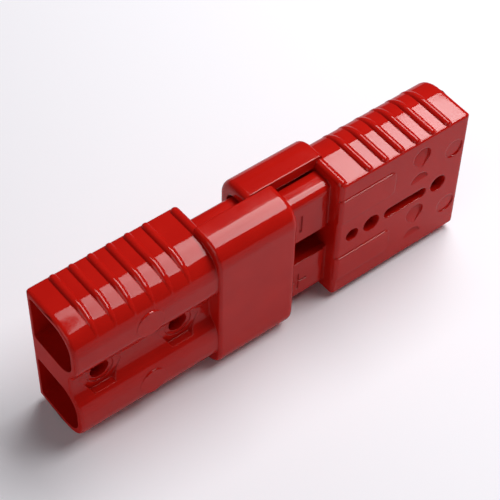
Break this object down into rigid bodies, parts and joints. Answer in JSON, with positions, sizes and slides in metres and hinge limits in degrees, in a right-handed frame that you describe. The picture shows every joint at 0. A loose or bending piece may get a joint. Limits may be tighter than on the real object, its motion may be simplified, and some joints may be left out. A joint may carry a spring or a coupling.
{
  "type": "genderless power connector pair",
  "caption": "Two identical red two-pole power connector halves, plugged part-way together, with ribbed grips, hooded fronts, mounting holes and crimp contacts.",
  "frame": {"origin": "centre of the footprint of the mated pair, at the level it stands on", "axes": "+X along the mating direction from the left housing to the right one, +Y towards the left housing's flat face, +Z across the two contacts, upwards"},
  "size_m": [0.1484, 0.0262, 0.0559],
  "materials": {
    "housing_plastic": "glossy moulded polycarbonate, red",
    "contact_plating": "silver-plated copper, satin",
    "spring_steel": "bright stainless strip"
  },
  "bodies": {
    "root": {"housing_left": "housing_plastic", "housing_right": "housing_plastic", "contact_left_upper": "contact_plating", "contact_left_lower": "contact_plating", "contact_right_upper": "contact_plating", "contact_right_lower": "contact_plating", "spring_left_upper": "spring_steel", "spring_left_lower": "spring_steel", "spring_right_upper": "spring_steel", "spring_right_lower": "spring_steel"}
  },
  "joints": []
}
